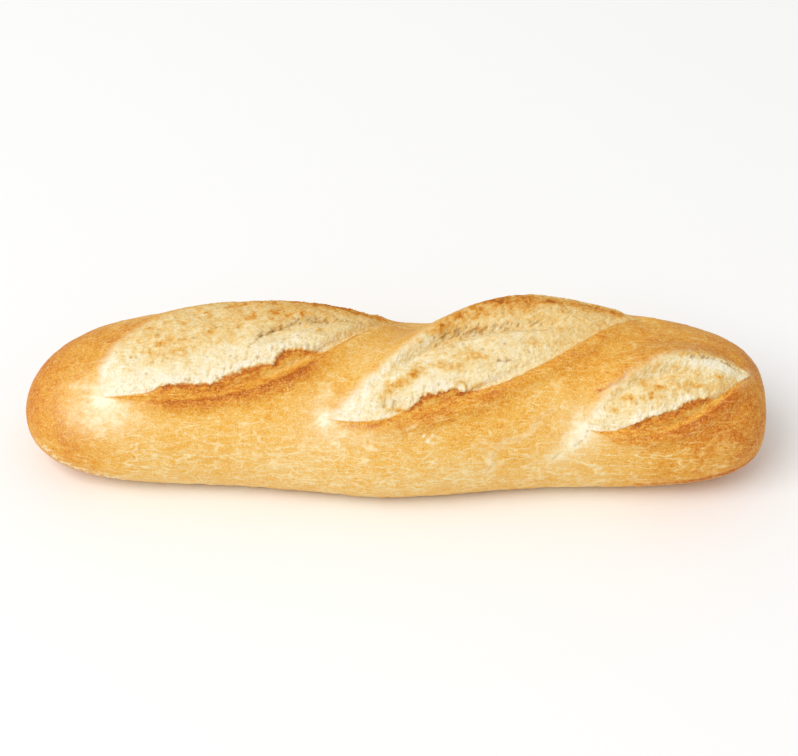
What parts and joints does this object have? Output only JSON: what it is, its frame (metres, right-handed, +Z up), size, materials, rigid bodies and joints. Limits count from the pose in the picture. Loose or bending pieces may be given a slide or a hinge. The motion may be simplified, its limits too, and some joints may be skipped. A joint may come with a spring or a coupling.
{
  "type": "baguette",
  "caption": "Short baked baguette, a rounded stick loaf with slanted cuts burst open along its top and a flat baked base, for tables, baskets and shop shelves.",
  "frame": {"origin": "under the middle of the loaf, in the plane of its flat base", "axes": "+X along the loaf towards its blunter end, +Z up from the base, -Y towards the flank on which the cuts start"},
  "size_m": [0.25, 0.0686, 0.0538],
  "materials": {
    "crust": "matte golden baked crust with paler open crumb in the cuts"
  },
  "bodies": {
    "root": {"baguette_loaf": "crust"}
  },
  "joints": []
}
